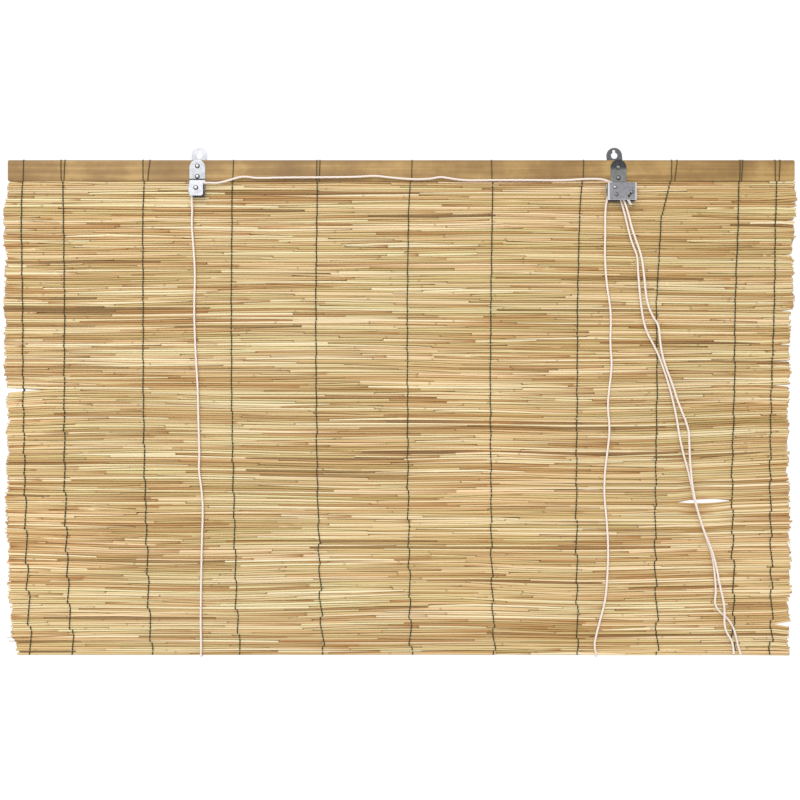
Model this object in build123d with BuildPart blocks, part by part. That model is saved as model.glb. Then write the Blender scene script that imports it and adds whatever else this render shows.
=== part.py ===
from build123d import *
from math import asin, atan2, cos, degrees, hypot, pi, radians, sin, tan
import os

os.makedirs("parts", exist_ok=True)

# A reed roll-up blind on a bamboo headrail, hung from two steel straps.
# Origin: halfway between the two hanging holes, on the wall face of the straps.
# +X to the right as the room sees it, +Z up, the wall towards +Y, the room towards -Y.
# A size called drop is measured down from the hanging holes.

# Headrail, a planed bamboo slat
rail_length = 1000.0
rail_height = 26.7
rail_thickness = 8.5
rail_face_round = 1.2
rail_corner = 2.2
rail_middle_x = -7.15
rail_top_drop = 8.4

# Sheet steel of the straps, the pulley bracket and the cord lock
sheet = 1.0
bend_radius = 1.6

# Hanger straps with a keyhole at the top
hole_spacing = 531.5
hole_radius = 4.1
slot_width = 3.4
slot_rise = 5.8
strap_width = 20.0
strap_tail = 4.6
strap_tail_round = 3.0
right_strap_lean = 6.0

# Rivets through front plate, headrail and strap
rivet_radius = 1.6
rivet_head_radius = 3.1
rivet_head_height = 1.3
rivet_tail_radius = 2.7
rivet_tail_height = 0.8
rivet_spacing = 13.2
left_rivet_drop = 16.5
right_rivet_drop = 18.2
rivet_fit = 0.04

# Front plates, each the upper half of the bracket or the lock
plate_width = 20.0
plate_top_drop = 8.2
plate_bottom_round = 3.0

# Pulley bracket at the left
pulley_room = 5.8
axle_drop = 45.8
axle_radius = 1.6
axle_head_radius = 3.2
axle_head_height = 1.2
running_fit = 0.06
wheel_radius = 7.2
wheel_width = 4.6
wheel_rim = 0.7
wheel_groove_depth = 2.55
wheel_root_width = 2.2
cover_width = 18.9
cover_height = 18.9
cover_above_axle = 9.0
cover_top_round = 5.0
cover_bottom_round = 3.0
fold_height = 10.0
fold_tab = 4.8

# Cord lock at the right
right_plate_shift = 2.6
lock_shift = 2.4
lock_width = 36.4
lock_height = 21.9
lock_above_axle = 5.8
lock_room = 8.2
lock_lip = 1.9
spool_shift = -7.2
spool_radius = 5.4
spool_width = 7.4
spool_rim = 0.7
spool_groove_depth = 2.55
spool_root_width = 5.2
pin_radius = 1.3
pin_head_radius = 2.6
pin_head_height = 1.0
fixed_roller_shift = -5.3
fixed_roller_fall = 9.4
fixed_roller_radius = 3.2
fixed_roller_width = 7.4
grip_roller_shift = 14.2
grip_roller_fall = 6.2
grip_roller_radius = 4.7
grip_roller_width = 6.6
grip_groove_count = 16
grip_groove_size = 0.8
grip_travel_x = -3.8
grip_travel_z = -5.0
grip_slot_fit = 0.15
grip_collar_radius = 2.4
grip_collar_width = 0.6
slide_play = 0.1
lug_shift = 7.0
lug_width = 3.2
lug_reach = 6.2
lug_lean = 3.6

# Reed mat: one row of reeds to each turn of the twine, thinner where two rows meet
row_count = 111
row_pitch = 5.42
row_thickness = 5.6
row_waist = 3.6
mat_behind_face = 3.0
rail_mat_gap = 0.3
end_scatter = 3.2
right_scatter_start = 501
scatter_step = 12.9898
scatter_scale = 43758.5453
slit_height = 2.2
lost_reed_row = 74
lost_reed_x = 379.0
lost_reed_length = 70.0
lost_reed_height = 5.0

# Ends of the rows, as pairs of drop and X that the ragged sides follow
left_side = (
    (35, -506.5),
    (78, -512.8),
    (125, -510.3),
    (215, -511.6),
    (290, -509.0),
    (364, -506.8),
    (440, -509.2),
    (520, -506.4),
    (580, -503.6),
    (640, -499.8),
)
right_side = (
    (35, 494.6),
    (62, 495.4),
    (100, 490.6),
    (165, 491.8),
    (235, 486.8),
    (350, 484.2),
    (440, 485.2),
    (530, 487.0),
    (640, 484.0),
)

# Open slits at the two sides: the row above the slit, and the X where it starts and stops
side_slits = (
    (4, 474.0, 500.0),
    (5, 471.0, 500.0),
    (8, 472.5, 500.0),
    (16, 474.0, 500.0),
    (29, 471.5, 500.0),
    (37, 470.0, 500.0),
    (41, 472.0, 500.0),
    (47, 469.0, 500.0),
    (48, -520.0, -457.0),
    (103, 467.5, 500.0),
)

# Twine stitches
twine_width = 1.4
twine_thickness = 1.0
twine_seat = 0.02
stitch_drops = (35.5, 82.0, 189.0, 295.0, 402.0, 509.0, 580.0, 637.0)

# For each stitch, the X of its strands over the headrail and its X at each of the drops above
stitches = (
    ((-486.8,), (-488.1, -489.8, -488.1, -487.5, -485.4, -482.6, -479.8, -476.4)),
    ((-439.3, -434.2), (-436.9, -436.1, -434.8, -435.1, -434.6, -431.5, -428.5, -421.6)),
    ((-335.1, -326.3), (-333.4, -335.4, -335.0, -334.9, -333.2, -329.6, -327.3, -323.0)),
    ((-220.2,), (-221.9, -222.1, -223.0, -222.6, -220.8, -218.0, -215.8, -211.4)),
    ((-114.3, -110.4), (-113.9, -114.4, -115.8, -115.3, -114.2, -111.6, -109.8, -105.9)),
    ((6.5,), (4.3, 2.0, 0.5, 0.9, 1.3, 2.8, 4.2, 5.9)),
    ((107.4,), (109.1, 108.2, 106.7, 105.7, 106.6, 107.1, 108.7, 110.6)),
    ((224.4,), (222.5, 219.2, 216.7, 216.3, 215.3, 215.8, 216.4, 217.3)),
    ((336.2, 343.0), (334.8, 323.0, 316.8, 317.6, 315.9, 314.9, 316.8, 317.2)),
    ((423.0, 426.4), (421.5, 421.0, 416.9, 416.2, 413.1, 414.3, 415.7, 414.2)),
    ((467.5, 473.8), (469.7, 468.0, 466.7, 462.8, 461.0, 462.2, 462.9, 461.2)),
)

# Lift cords, and the grooves behind the headrail that hold their fixed ends
cord_diameter = 2.5
cord_turn_share = 0.45
cord_groove_width = 2.9
cord_groove_depth = 2.9
cord_groove_shift = -5.25
cord_groove_drop = 13.0

# Planes and places worked out from the sizes above
rail_back_y = -sheet
rail_front_y = rail_back_y - rail_thickness
plate_front_y = rail_front_y - sheet
cover_front_y = plate_front_y - pulley_room - sheet
lock_front_y = plate_front_y - lock_room - sheet
mat_y = rail_front_y + mat_behind_face
rail_bottom_drop = rail_top_drop + rail_height
first_row_drop = rail_bottom_drop + rail_mat_gap + row_pitch / 2
last_row_drop = first_row_drop + (row_count - 1) * row_pitch
left_x = -hole_spacing / 2
right_x = hole_spacing / 2
right_plate_x = right_x + right_plate_shift
lock_x = right_plate_x + lock_shift
cover_top_drop = axle_drop - cover_above_axle
lock_top_drop = axle_drop - lock_above_axle
fixed_roller_drop = axle_drop + fixed_roller_fall
grip_roller_drop = axle_drop + grip_roller_fall
lock_bottom_drop = lock_top_drop + lock_height
cover_bottom_drop = cover_top_drop + cover_height
pulley_middle_y = plate_front_y - pulley_room / 2
lock_middle_y = plate_front_y - lock_room / 2
spool_x = right_plate_x + spool_shift
fixed_roller_x = right_plate_x + fixed_roller_shift
grip_roller_x = right_plate_x + grip_roller_shift


def room_plane(y):
    # A drawing plane that faces the room at the depth y, with X and Z as its own axes
    return Plane.XZ.offset(-y)


def between(course, drop):
    # The X of a course of (drop, X) pairs at one drop, on straight lines from pair to pair
    for (drop_a, x_a), (drop_b, x_b) in zip(course, course[1:]):
        if drop <= drop_b:
            return x_a + (x_b - x_a) * (drop - drop_a) / (drop_b - drop_a)
    return course[-1][1]


def scatter(number):
    # An uneven value from -0.5 to 0.5 for each whole number
    return sin(number * scatter_step) * scatter_scale % 1 - 0.5


def pin_along_y(x, drop, shank, head, head_height, front_y, back_y, tail=0, tail_height=0):
    # A pin or rivet: a domed head in front, a plain shank, and a flat tail where it has one
    ball = (head**2 + head_height**2) / (2 * head_height)
    half_cap = asin(head / ball) / 2
    crown_y = front_y - head_height
    with BuildPart() as made:
        with BuildSketch(Plane.XY.offset(-drop)):
            with BuildLine():
                halfway = (x + ball * sin(half_cap), crown_y + ball * (1 - cos(half_cap)))
                ThreePointArc((x, crown_y), halfway, (x + head, front_y))
                Polyline((x + head, front_y), (x + shank, front_y), (x + shank, back_y))
                if tail:
                    tail_y = back_y + tail_height
                    Polyline((x + shank, back_y), (x + tail, back_y), (x + tail, tail_y), (x, tail_y))
                    Line((x, tail_y), (x, crown_y))
                else:
                    Polyline((x + shank, back_y), (x, back_y), (x, crown_y))
            make_face()
        revolve(axis=Axis((x, 0, -drop), (0, 1, 0)))
    return made.part


def roller_along_y(x, drop, middle_y, bore, outer, width, rim=0, groove_depth=0, root_width=0):
    # A wheel or roller on a pin, with a tapered groove between two rims where it has one
    with BuildPart() as made:
        with BuildSketch(Plane.XY.offset(-drop)):
            with Locations((x + (bore + outer) / 2, middle_y)):
                Rectangle(outer - bore, width)
            if groove_depth:
                with BuildLine():
                    Polyline(
                        (x + outer - groove_depth, middle_y - root_width / 2),
                        (x + outer, middle_y - width / 2 + rim),
                        (x + outer, middle_y + width / 2 - rim),
                        (x + outer - groove_depth, middle_y + root_width / 2),
                        close=True,
                    )
                make_face(mode=Mode.SUBTRACT)
        revolve(axis=Axis((x, 0, -drop), (0, 1, 0)))
    return made.part


def front_plate(middle_x, bottom_drop, bottom_round):
    # The plate on the headrail's face, with a round top
    top_round = plate_width / 2
    straight = bottom_drop - plate_top_drop - top_round
    with BuildPart() as made:
        with BuildSketch(room_plane(rail_front_y)):
            with Locations((middle_x, -plate_top_drop - top_round - straight / 2)):
                Rectangle(plate_width, straight)
            if bottom_round:
                fillet(vertices().group_by(Axis.Y)[0], bottom_round)
            with Locations((middle_x, -plate_top_drop - top_round)):
                Circle(top_round)
        extrude(amount=sheet)
    return made.part


def hanger_strap(hole_x, lean, rivet_x, rivet_drop):
    # A strip behind the headrail with a keyhole above it; lean turns it about its hole
    strap_length = rivet_drop + rivet_spacing + strap_tail
    lean_x = (cos(radians(lean)), 0, sin(radians(lean)))
    with BuildPart() as made:
        with BuildSketch(Plane(origin=(hole_x, 0, 0), x_dir=lean_x, z_dir=(0, -1, 0))):
            with Locations((0, -strap_length / 2)):
                Rectangle(strap_width, strap_length)
            fillet(vertices().group_by(Axis.Y)[0], strap_tail_round)
            Circle(strap_width / 2)
            Circle(hole_radius, mode=Mode.SUBTRACT)
            with Locations((0, slot_rise / 2)):
                Rectangle(slot_width, slot_rise, mode=Mode.SUBTRACT)
            with Locations((0, slot_rise)):
                Circle(slot_width / 2, mode=Mode.SUBTRACT)
        extrude(amount=sheet)
        with BuildSketch(room_plane(0)):
            with Locations((rivet_x, -rivet_drop), (rivet_x, -rivet_drop - rivet_spacing)):
                Circle(rivet_radius + rivet_fit)
        extrude(amount=sheet, mode=Mode.SUBTRACT)
    return made.part


def save(name, part):
    part.label = name
    export_step(part, f"parts/{name}.step")


# Headrail: a slat with a rounded face, rounded ends, rivet holes and two cord grooves
with BuildPart() as headrail:
    with BuildSketch(room_plane(rail_back_y)):
        with Locations((rail_middle_x, -rail_top_drop - rail_height / 2)):
            RectangleRounded(rail_length, rail_height, rail_corner)
    extrude(amount=rail_thickness)
    fillet(headrail.faces().sort_by(Axis.Y)[0].edges(), rail_face_round)
    with BuildSketch(room_plane(rail_back_y)):
        for x, drop in ((left_x, left_rivet_drop), (right_plate_x, right_rivet_drop)):
            with Locations((x, -drop), (x, -drop - rivet_spacing)):
                Circle(rivet_radius + rivet_fit)
    extrude(amount=rail_thickness, mode=Mode.SUBTRACT)
    with BuildSketch(room_plane(rail_back_y)):
        for x in (left_x + cord_groove_shift, right_plate_x + cord_groove_shift):
            with Locations((x, -(cord_groove_drop + rail_bottom_drop) / 2)):
                Rectangle(cord_groove_width, rail_bottom_drop - cord_groove_drop)
    extrude(amount=cord_groove_depth, mode=Mode.SUBTRACT)
save("headrail", headrail.part)

# Hanger straps: the left one upright, the right one leaning a little
save("left_hanger_strap", hanger_strap(left_x, 0, left_x, left_rivet_drop))
save("right_hanger_strap", hanger_strap(right_x, right_strap_lean, right_plate_x, right_rivet_drop))

# Rivets
for side, x, top_drop in (("left", left_x, left_rivet_drop), ("right", right_plate_x, right_rivet_drop)):
    for place, drop in (("upper", top_drop), ("lower", top_drop + rivet_spacing)):
        rivet = pin_along_y(
            x, drop, rivet_radius, rivet_head_radius, rivet_head_height,
            plate_front_y, 0, rivet_tail_radius, rivet_tail_height,
        )
        save(f"{side}_{place}_rivet", rivet)

# Pulley bracket: one strip, folded round at its left edge into a cover in front of the wheel
with BuildPart() as left_pulley_bracket:
    add(front_plate(left_x, cover_bottom_drop, plate_bottom_round))
    fold_x = left_x - plate_width / 2
    cover_middle_drop = cover_top_drop + cover_height / 2
    with BuildSketch(Plane.XY.offset(-cover_middle_drop)):
        with BuildLine():
            Polyline(
                (fold_x + fold_tab, cover_front_y),
                (fold_x, cover_front_y),
                (fold_x, rail_front_y),
                (fold_x + fold_tab, rail_front_y),
                (fold_x + fold_tab, plate_front_y),
                (fold_x + sheet, plate_front_y),
                (fold_x + sheet, cover_front_y + sheet),
                (fold_x + fold_tab, cover_front_y + sheet),
                close=True,
            )
        make_face()
        fillet(vertices().group_by(Axis.X)[0], bend_radius)
        fillet(vertices().filter_by_position(Axis.X, fold_x + sheet, fold_x + sheet), bend_radius - sheet)
    extrude(amount=fold_height / 2, both=True)
    with BuildSketch(room_plane(cover_front_y + sheet)):
        with Locations((fold_x + (cover_width + bend_radius) / 2, -cover_middle_drop)):
            Rectangle(cover_width - bend_radius, cover_height)
        fillet(vertices().group_by(Axis.Y)[-1], cover_top_round)
        fillet(vertices().group_by(Axis.Y)[0], cover_bottom_round)
    extrude(amount=sheet)
    with BuildSketch(room_plane(rail_front_y)):
        with Locations((left_x, -axle_drop)):
            Circle(axle_radius + rivet_fit)
    extrude(amount=rail_front_y - cover_front_y, mode=Mode.SUBTRACT)
    with BuildSketch(room_plane(rail_front_y)):
        with Locations((left_x, -left_rivet_drop), (left_x, -left_rivet_drop - rivet_spacing)):
            Circle(rivet_radius + rivet_fit)
    extrude(amount=sheet, mode=Mode.SUBTRACT)
save("left_pulley_bracket", left_pulley_bracket.part)

left_pulley_wheel = roller_along_y(
    left_x, axle_drop, pulley_middle_y, axle_radius + running_fit,
    wheel_radius, wheel_width, wheel_rim, wheel_groove_depth, wheel_root_width,
)
save("left_pulley_wheel", left_pulley_wheel)
left_pulley_axle = pin_along_y(
    left_x, axle_drop, axle_radius, axle_head_radius, axle_head_height, cover_front_y, rail_front_y
)
save("left_pulley_axle", left_pulley_axle)

# Cord lock: one strip, widened below the headrail and folded round at its right edge,
# with a lip along the left edge of its front wall and a bent lug under it
with BuildPart() as cord_lock_body:
    add(front_plate(right_plate_x, lock_top_drop + bend_radius, 0))
    lock_left_x = lock_x - lock_width / 2
    lock_right_x = lock_x + lock_width / 2
    with BuildSketch(Plane.XY.offset(-lock_bottom_drop)):
        with BuildLine():
            Polyline(
                (lock_left_x, rail_front_y),
                (lock_right_x, rail_front_y),
                (lock_right_x, lock_front_y),
                (lock_left_x, lock_front_y),
                (lock_left_x, lock_front_y + lock_lip),
                (lock_left_x + sheet, lock_front_y + lock_lip),
                (lock_left_x + sheet, lock_front_y + sheet),
                (lock_right_x - sheet, lock_front_y + sheet),
                (lock_right_x - sheet, plate_front_y),
                (lock_left_x, plate_front_y),
                close=True,
            )
        make_face()
        fillet(vertices().group_by(Axis.X)[-1], bend_radius)
        fillet(vertices().group_by(Axis.X)[-2], bend_radius - sheet)
    extrude(amount=lock_height)
    lug_x = lock_x + lug_shift
    with BuildSketch(room_plane(lock_front_y + sheet)):
        with BuildLine():
            Polyline(
                (lug_x - lug_width / 2, -lock_bottom_drop),
                (lug_x + lug_width / 2, -lock_bottom_drop),
                (lug_x + lug_width / 2 + lug_lean, -lock_bottom_drop - lug_reach),
                (lug_x - lug_width / 2 + lug_lean, -lock_bottom_drop - lug_reach),
                close=True,
            )
        make_face()
    extrude(amount=sheet)
    with BuildSketch(room_plane(rail_front_y)):
        with Locations((spool_x, -axle_drop)):
            Circle(axle_radius + rivet_fit)
        with Locations((fixed_roller_x, -fixed_roller_drop)):
            Circle(pin_radius + rivet_fit)
        slot_middle = (grip_roller_x + grip_travel_x / 2, -grip_roller_drop + grip_travel_z / 2)
        slot_turn = degrees(atan2(grip_travel_z, grip_travel_x))
        slot_width_here = 2 * (pin_radius + grip_slot_fit)
        with Locations(slot_middle):
            SlotCenterToCenter(hypot(grip_travel_x, grip_travel_z), slot_width_here, rotation=slot_turn)
    extrude(amount=rail_front_y - lock_front_y, mode=Mode.SUBTRACT)
    with BuildSketch(room_plane(rail_front_y)):
        lower_rivet_drop = right_rivet_drop + rivet_spacing
        with Locations((right_plate_x, -right_rivet_drop), (right_plate_x, -lower_rivet_drop)):
            Circle(rivet_radius + rivet_fit)
    extrude(amount=sheet, mode=Mode.SUBTRACT)
save("cord_lock_body", cord_lock_body.part)

lock_guide_spool = roller_along_y(
    spool_x, axle_drop, lock_middle_y, axle_radius + running_fit,
    spool_radius, spool_width, spool_rim, spool_groove_depth, spool_root_width,
)
save("lock_guide_spool", lock_guide_spool)
lock_guide_axle = pin_along_y(
    spool_x, axle_drop, axle_radius, pin_head_radius, pin_head_height, lock_front_y, rail_front_y
)
save("lock_guide_axle", lock_guide_axle)

lock_fixed_roller = roller_along_y(
    fixed_roller_x, fixed_roller_drop, lock_middle_y, pin_radius + running_fit,
    fixed_roller_radius, fixed_roller_width,
)
save("lock_fixed_roller", lock_fixed_roller)
lock_fixed_pin = pin_along_y(
    fixed_roller_x, fixed_roller_drop, pin_radius, pin_head_radius, pin_head_height,
    lock_front_y, rail_front_y,
)
save("lock_fixed_pin", lock_fixed_pin)

# Grip roller: ribbed, on a pin that slides in the two inclined slots
grip_front_y = lock_front_y + sheet + slide_play + grip_collar_width + slide_play
grip_middle_y = grip_front_y + grip_roller_width / 2
with BuildPart() as lock_grip_roller:
    with BuildSketch(room_plane(grip_front_y + grip_roller_width)):
        with Locations((grip_roller_x, -grip_roller_drop)):
            Circle(grip_roller_radius)
            Circle(pin_radius + running_fit, mode=Mode.SUBTRACT)
            with PolarLocations(grip_roller_radius, grip_groove_count):
                Rectangle(grip_groove_size, grip_groove_size, rotation=45, mode=Mode.SUBTRACT)
    extrude(amount=grip_roller_width)
save("lock_grip_roller", lock_grip_roller.part)

with BuildPart() as lock_grip_pin:
    head_back_y = lock_front_y - slide_play
    add(
        pin_along_y(
            grip_roller_x, grip_roller_drop, pin_radius, pin_head_radius, pin_head_height,
            head_back_y, rail_front_y,
        )
    )
    with BuildSketch(room_plane(lock_front_y + sheet + slide_play + grip_collar_width)):
        with Locations((grip_roller_x, -grip_roller_drop)):
            Circle(grip_collar_radius)
    extrude(amount=grip_collar_width)
save("lock_grip_pin", lock_grip_pin.part)

# Reed mat: rows of reeds as ridges that meet in one wall, with ragged sides and a few open slits
with BuildSketch(Plane.YZ) as row_section:
    with BuildLine():
        ThreePointArc(
            (row_waist / 2, -row_pitch / 2), (row_thickness / 2, 0), (row_waist / 2, row_pitch / 2)
        )
        Line((row_waist / 2, row_pitch / 2), (-row_waist / 2, row_pitch / 2))
        ThreePointArc(
            (-row_waist / 2, row_pitch / 2), (-row_thickness / 2, 0), (-row_waist / 2, -row_pitch / 2)
        )
        Line((-row_waist / 2, -row_pitch / 2), (row_waist / 2, -row_pitch / 2))
    make_face()
rows = []
for number in range(row_count):
    drop = first_row_drop + number * row_pitch
    row_left = between(left_side, drop) + end_scatter * scatter(number + 1)
    row_right = between(right_side, drop) + end_scatter * scatter(number + right_scatter_start)
    row = extrude(row_section.sketch, amount=row_right - row_left, mode=Mode.PRIVATE)
    rows.append(row.moved(Location((row_left, mat_y, -drop))))
with BuildPart() as reed_mat:
    add(rows)
    with BuildSketch(room_plane(mat_y + row_thickness / 2)):
        for number, start_x, end_x in side_slits:
            slit_drop = first_row_drop + (number + 0.5) * row_pitch
            with Locations(((start_x + end_x) / 2, -slit_drop)):
                Rectangle(end_x - start_x, slit_height)
        with Locations((lost_reed_x, -first_row_drop - (lost_reed_row + 0.5) * row_pitch)):
            Ellipse(lost_reed_length / 2, lost_reed_height / 2)
    extrude(amount=row_thickness, mode=Mode.SUBTRACT)
save("reed_mat", reed_mat.part)


def strand(course, front_y):
    # A flat run of twine through (drop, X) pairs, on a plane that faces the room
    half = twine_width / 2
    with BuildPart() as made:
        with BuildSketch(room_plane(front_y + twine_thickness)):
            with BuildLine():
                down = [(x - half, -drop) for drop, x in course]
                up = [(x + half, -drop) for drop, x in reversed(course)]
                Polyline(*down, *up, close=True)
            make_face()
        extrude(amount=twine_thickness)
    return made.part


# Stitches: each a loop of twine over the headrail, down both faces of the mat and under it
under_mat_drop = last_row_drop + row_pitch / 2 + twine_seat + twine_thickness
over_rail_drop = rail_top_drop - twine_thickness
under_rail_drop = rail_bottom_drop + twine_thickness
mat_strand_front_y = mat_y - row_thickness / 2 - twine_seat - twine_thickness
mat_strand_back_y = mat_y + row_thickness / 2 + twine_seat
twine_back_y = rail_back_y + twine_thickness
for number, (rail_xs, mat_xs) in enumerate(stitches, start=1):
    down_course = list(zip(stitch_drops, mat_xs))
    down_course[0] = (rail_bottom_drop, mat_xs[0])
    down_course[-1] = (under_mat_drop, mat_xs[-1])
    with BuildPart() as stitch:
        add(strand(down_course, mat_strand_front_y))
        add(strand(down_course, mat_strand_back_y))
        for rail_x in rail_xs:
            rail_course = [(over_rail_drop, rail_x), (under_rail_drop, mat_xs[0])]
            add(strand(rail_course, rail_front_y - twine_thickness))
            add(strand(rail_course, rail_back_y))
            with Locations((rail_x, (rail_front_y + rail_back_y) / 2, -over_rail_drop - twine_thickness / 2)):
                Box(twine_width, rail_thickness + 2 * twine_thickness, twine_thickness)
        under_rail_y = (mat_strand_back_y + twine_back_y) / 2
        with Locations((mat_xs[0], under_rail_y, -under_rail_drop + twine_thickness / 2)):
            Box(twine_width, twine_back_y - mat_strand_back_y, twine_thickness)
        with Locations((mat_xs[-1], mat_y, -under_mat_drop + twine_thickness / 2)):
            Box(twine_width, mat_strand_back_y - mat_strand_front_y + twine_thickness, twine_thickness)
    save(f"stitch_{number:02d}", stitch.part)


# Lift cords. Each hangs from its groove behind the headrail, goes under the mat and up its face
# to its wheel, and ends as a pull cord at the right. A fourth value is the radius of a turn
# round a wheel or an edge.
left_lift_route = (
    (-271.0, -2.3, -13.0),
    (-271.0, -2.3, -55.0),
    (-269.6, -2.3, -113.0),
    (-268.6, -2.3, -172.0),
    (-265.9, -2.3, -231.0),
    (-264.6, -2.3, -290.0),
    (-262.5, -2.3, -349.0),
    (-262.3, -2.3, -408.0),
    (-260.7, -2.3, -467.0),
    (-261.5, -2.3, -525.0),
    (-260.9, -2.3, -579.0),
    (-261.4, -2.3, -608.0),
    (-261.2, -2.3, -623.5),
    (-261.3, -2.3, -639.3, 4.15),
    (-261.3, -10.7, -639.3, 4.15),
    (-260.8, -10.7, -623.5),
    (-261.6, -10.7, -594.0),
    (-260.9, -10.7, -545.0),
    (-259.9, -10.7, -492.0),
    (-258.3, -10.7, -449.0),
    (-260.6, -10.7, -423.5),
    (-264.0, -10.7, -402.0),
    (-262.8, -10.7, -381.7),
    (-264.3, -10.7, -342.5),
    (-264.9, -10.7, -300.0),
    (-268.2, -10.7, -250.0),
    (-270.0, -10.7, -195.0),
    (-268.3, -10.7, -154.7),
    (-270.5, -10.7, -119.2),
    (-273.0, -10.7, -90.0),
    (-271.7, -11.4, -73.0),
    (-271.95, -13.4, -58.0),
    (-271.95, -13.4, -39.6, 6.15),
    (-259.3, -13.4, -39.6),
    (-252.8, -13.2, -38.2),
    (-240.2, -13.0, -39.0),
    (-227.7, -12.6, -36.1),
    (-213.8, -12.2, -31.3),
    (-203.7, -12.0, -30.3),
    (-191.1, -12.0, -32.4),
    (-160.0, -12.0, -31.5),
    (-104.0, -12.0, -31.3),
    (-62.0, -12.1, -30.8),
    (-40.4, -12.1, -29.2),
    (-23.9, -12.0, -31.3),
    (8.0, -12.0, -34.1),
    (30.5, -12.1, -33.3),
    (41.9, -12.2, -30.6),
    (53.3, -12.1, -32.5),
    (72.3, -12.0, -35.3),
    (108.0, -12.0, -34.8),
    (160.0, -12.2, -34.9),
    (196.1, -13.0, -35.5),
    (218.6, -14.2, -34.4),
    (236.0, -15.2, -34.1),
    (248.0, -15.8, -35.2),
    (254.6, -16.0, -37.9),
    (264.4, -16.0, -42.4, 4.3),
    (273.0, -15.7, -59.4),
    (279.3, -15.2, -77.3),
    (284.3, -14.5, -98.3),
    (295.6, -14.5, -128.5),
    (298.8, -14.5, -148.5),
    (302.4, -14.5, -188.5),
    (310.0, -14.5, -207.5),
    (318.2, -14.5, -218.6),
    (319.6, -14.5, -240.5),
    (324.0, -14.5, -264.5),
    (336.6, -14.5, -296.8),
    (341.8, -14.5, -315.0),
    (355.7, -14.5, -347.9),
    (356.4, -14.5, -366.0),
    (357.3, -14.5, -389.0),
    (360.2, -14.5, -421.0),
    (365.6, -14.5, -448.0),
    (374.0, -14.5, -476.1),
    (383.8, -14.5, -499.0),
    (390.3, -14.5, -521.0),
    (395.0, -14.5, -547.0),
    (400.4, -14.5, -569.5),
    (401.2, -14.5, -583.0),
    (400.6, -14.5, -595.4),
    (403.1, -14.5, -606.1),
    (409.2, -14.5, -615.0),
    (412.2, -14.5, -624.4),
    (412.7, -14.5, -634.0),
)
right_lift_route = (
    (263.1, -2.3, -13.0),
    (263.1, -2.3, -55.0),
    (260.4, -2.3, -113.0),
    (258.7, -2.3, -172.0),
    (255.3, -2.3, -231.0),
    (253.9, -2.3, -290.0),
    (250.9, -2.3, -349.0),
    (249.3, -2.3, -408.0),
    (246.1, -2.3, -467.0),
    (244.6, -2.3, -525.0),
    (242.0, -2.3, -579.0),
    (241.9, -2.3, -608.0),
    (241.2, -2.3, -623.5),
    (241.2, -2.3, -639.3, 4.15),
    (241.2, -10.7, -639.3, 4.15),
    (237.2, -10.7, -624.9),
    (240.3, -10.7, -610.2),
    (245.6, -10.7, -589.6),
    (251.4, -10.7, -568.7),
    (254.4, -10.7, -537.6),
    (255.5, -10.7, -499.6),
    (253.2, -10.7, -464.0),
    (249.9, -10.7, -432.4),
    (251.1, -10.7, -402.0),
    (254.9, -10.7, -374.1),
    (257.4, -10.7, -348.7),
    (254.6, -10.7, -324.6),
    (255.6, -10.7, -305.6),
    (260.4, -10.7, -269.0),
    (257.5, -10.7, -243.5),
    (259.3, -10.7, -203.5),
    (253.4, -10.7, -168.0),
    (250.8, -10.7, -132.0),
    (251.6, -10.7, -98.0),
    (251.2, -10.9, -79.5),
    (252.2, -12.2, -63.0),
    (256.0, -13.2, -52.5),
    (257.2, -13.2, -41.4, 4.3),
    (264.4, -13.2, -41.4, 4.3),
    (267.7, -13.2, -50.8),
    (270.2, -13.0, -59.6),
    (275.4, -12.4, -76.5),
    (280.4, -11.8, -97.6),
    (285.0, -11.8, -114.5),
    (292.0, -11.8, -130.5),
    (292.4, -11.8, -146.0),
    (294.6, -11.8, -176.0),
    (298.3, -11.8, -208.0),
    (303.6, -11.8, -227.5),
    (312.4, -11.8, -243.0),
    (320.5, -11.8, -260.5),
    (332.0, -11.8, -294.0),
    (341.0, -11.8, -331.5),
    (346.6, -11.8, -369.0),
    (358.6, -11.8, -411.5),
    (363.8, -11.8, -440.5),
    (371.6, -11.8, -465.0),
    (379.6, -11.8, -489.5),
    (386.6, -11.8, -508.5),
    (389.6, -11.8, -530.0),
    (391.6, -11.8, -556.4),
    (389.2, -11.8, -570.9),
    (396.0, -11.8, -581.9),
    (405.4, -11.8, -588.5),
    (413.6, -11.8, -601.3),
    (417.0, -11.8, -614.0),
    (419.3, -11.8, -625.4),
    (422.6, -11.8, -635.0),
)
for name, route in (("left_lift_cord", left_lift_route), ("right_lift_cord", right_lift_route)):
    points = [Vector(*stop[:3]) for stop in route]
    radii = []
    for before, stop, after in zip(points, route[1:], points[2:]):
        corner = Vector(*stop[:3])
        half_turn = radians((corner - before).get_angle(after - corner)) / 2
        shorter_run = min((corner - before).length, (after - corner).length)
        radii.append(stop[3] if len(stop) > 3 else cord_turn_share * shorter_run / tan(half_turn))
    with BuildPart() as cord:
        with BuildLine():
            path = FilletPolyline(*points, radius=radii)
        with BuildSketch(Plane(path @ 0, z_dir=path % 0)):
            Circle(cord_diameter / 2)
        sweep(path=path)
    full_volume = pi * cord_diameter**2 / 4 * path.length
    print(name, "length", round(path.length, 1), "radii", [round(radius, 1) for radius in radii])
    print(name, "volume over section times length", round(cord.part.volume / full_volume, 5))
    save(name, cord.part)
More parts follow.
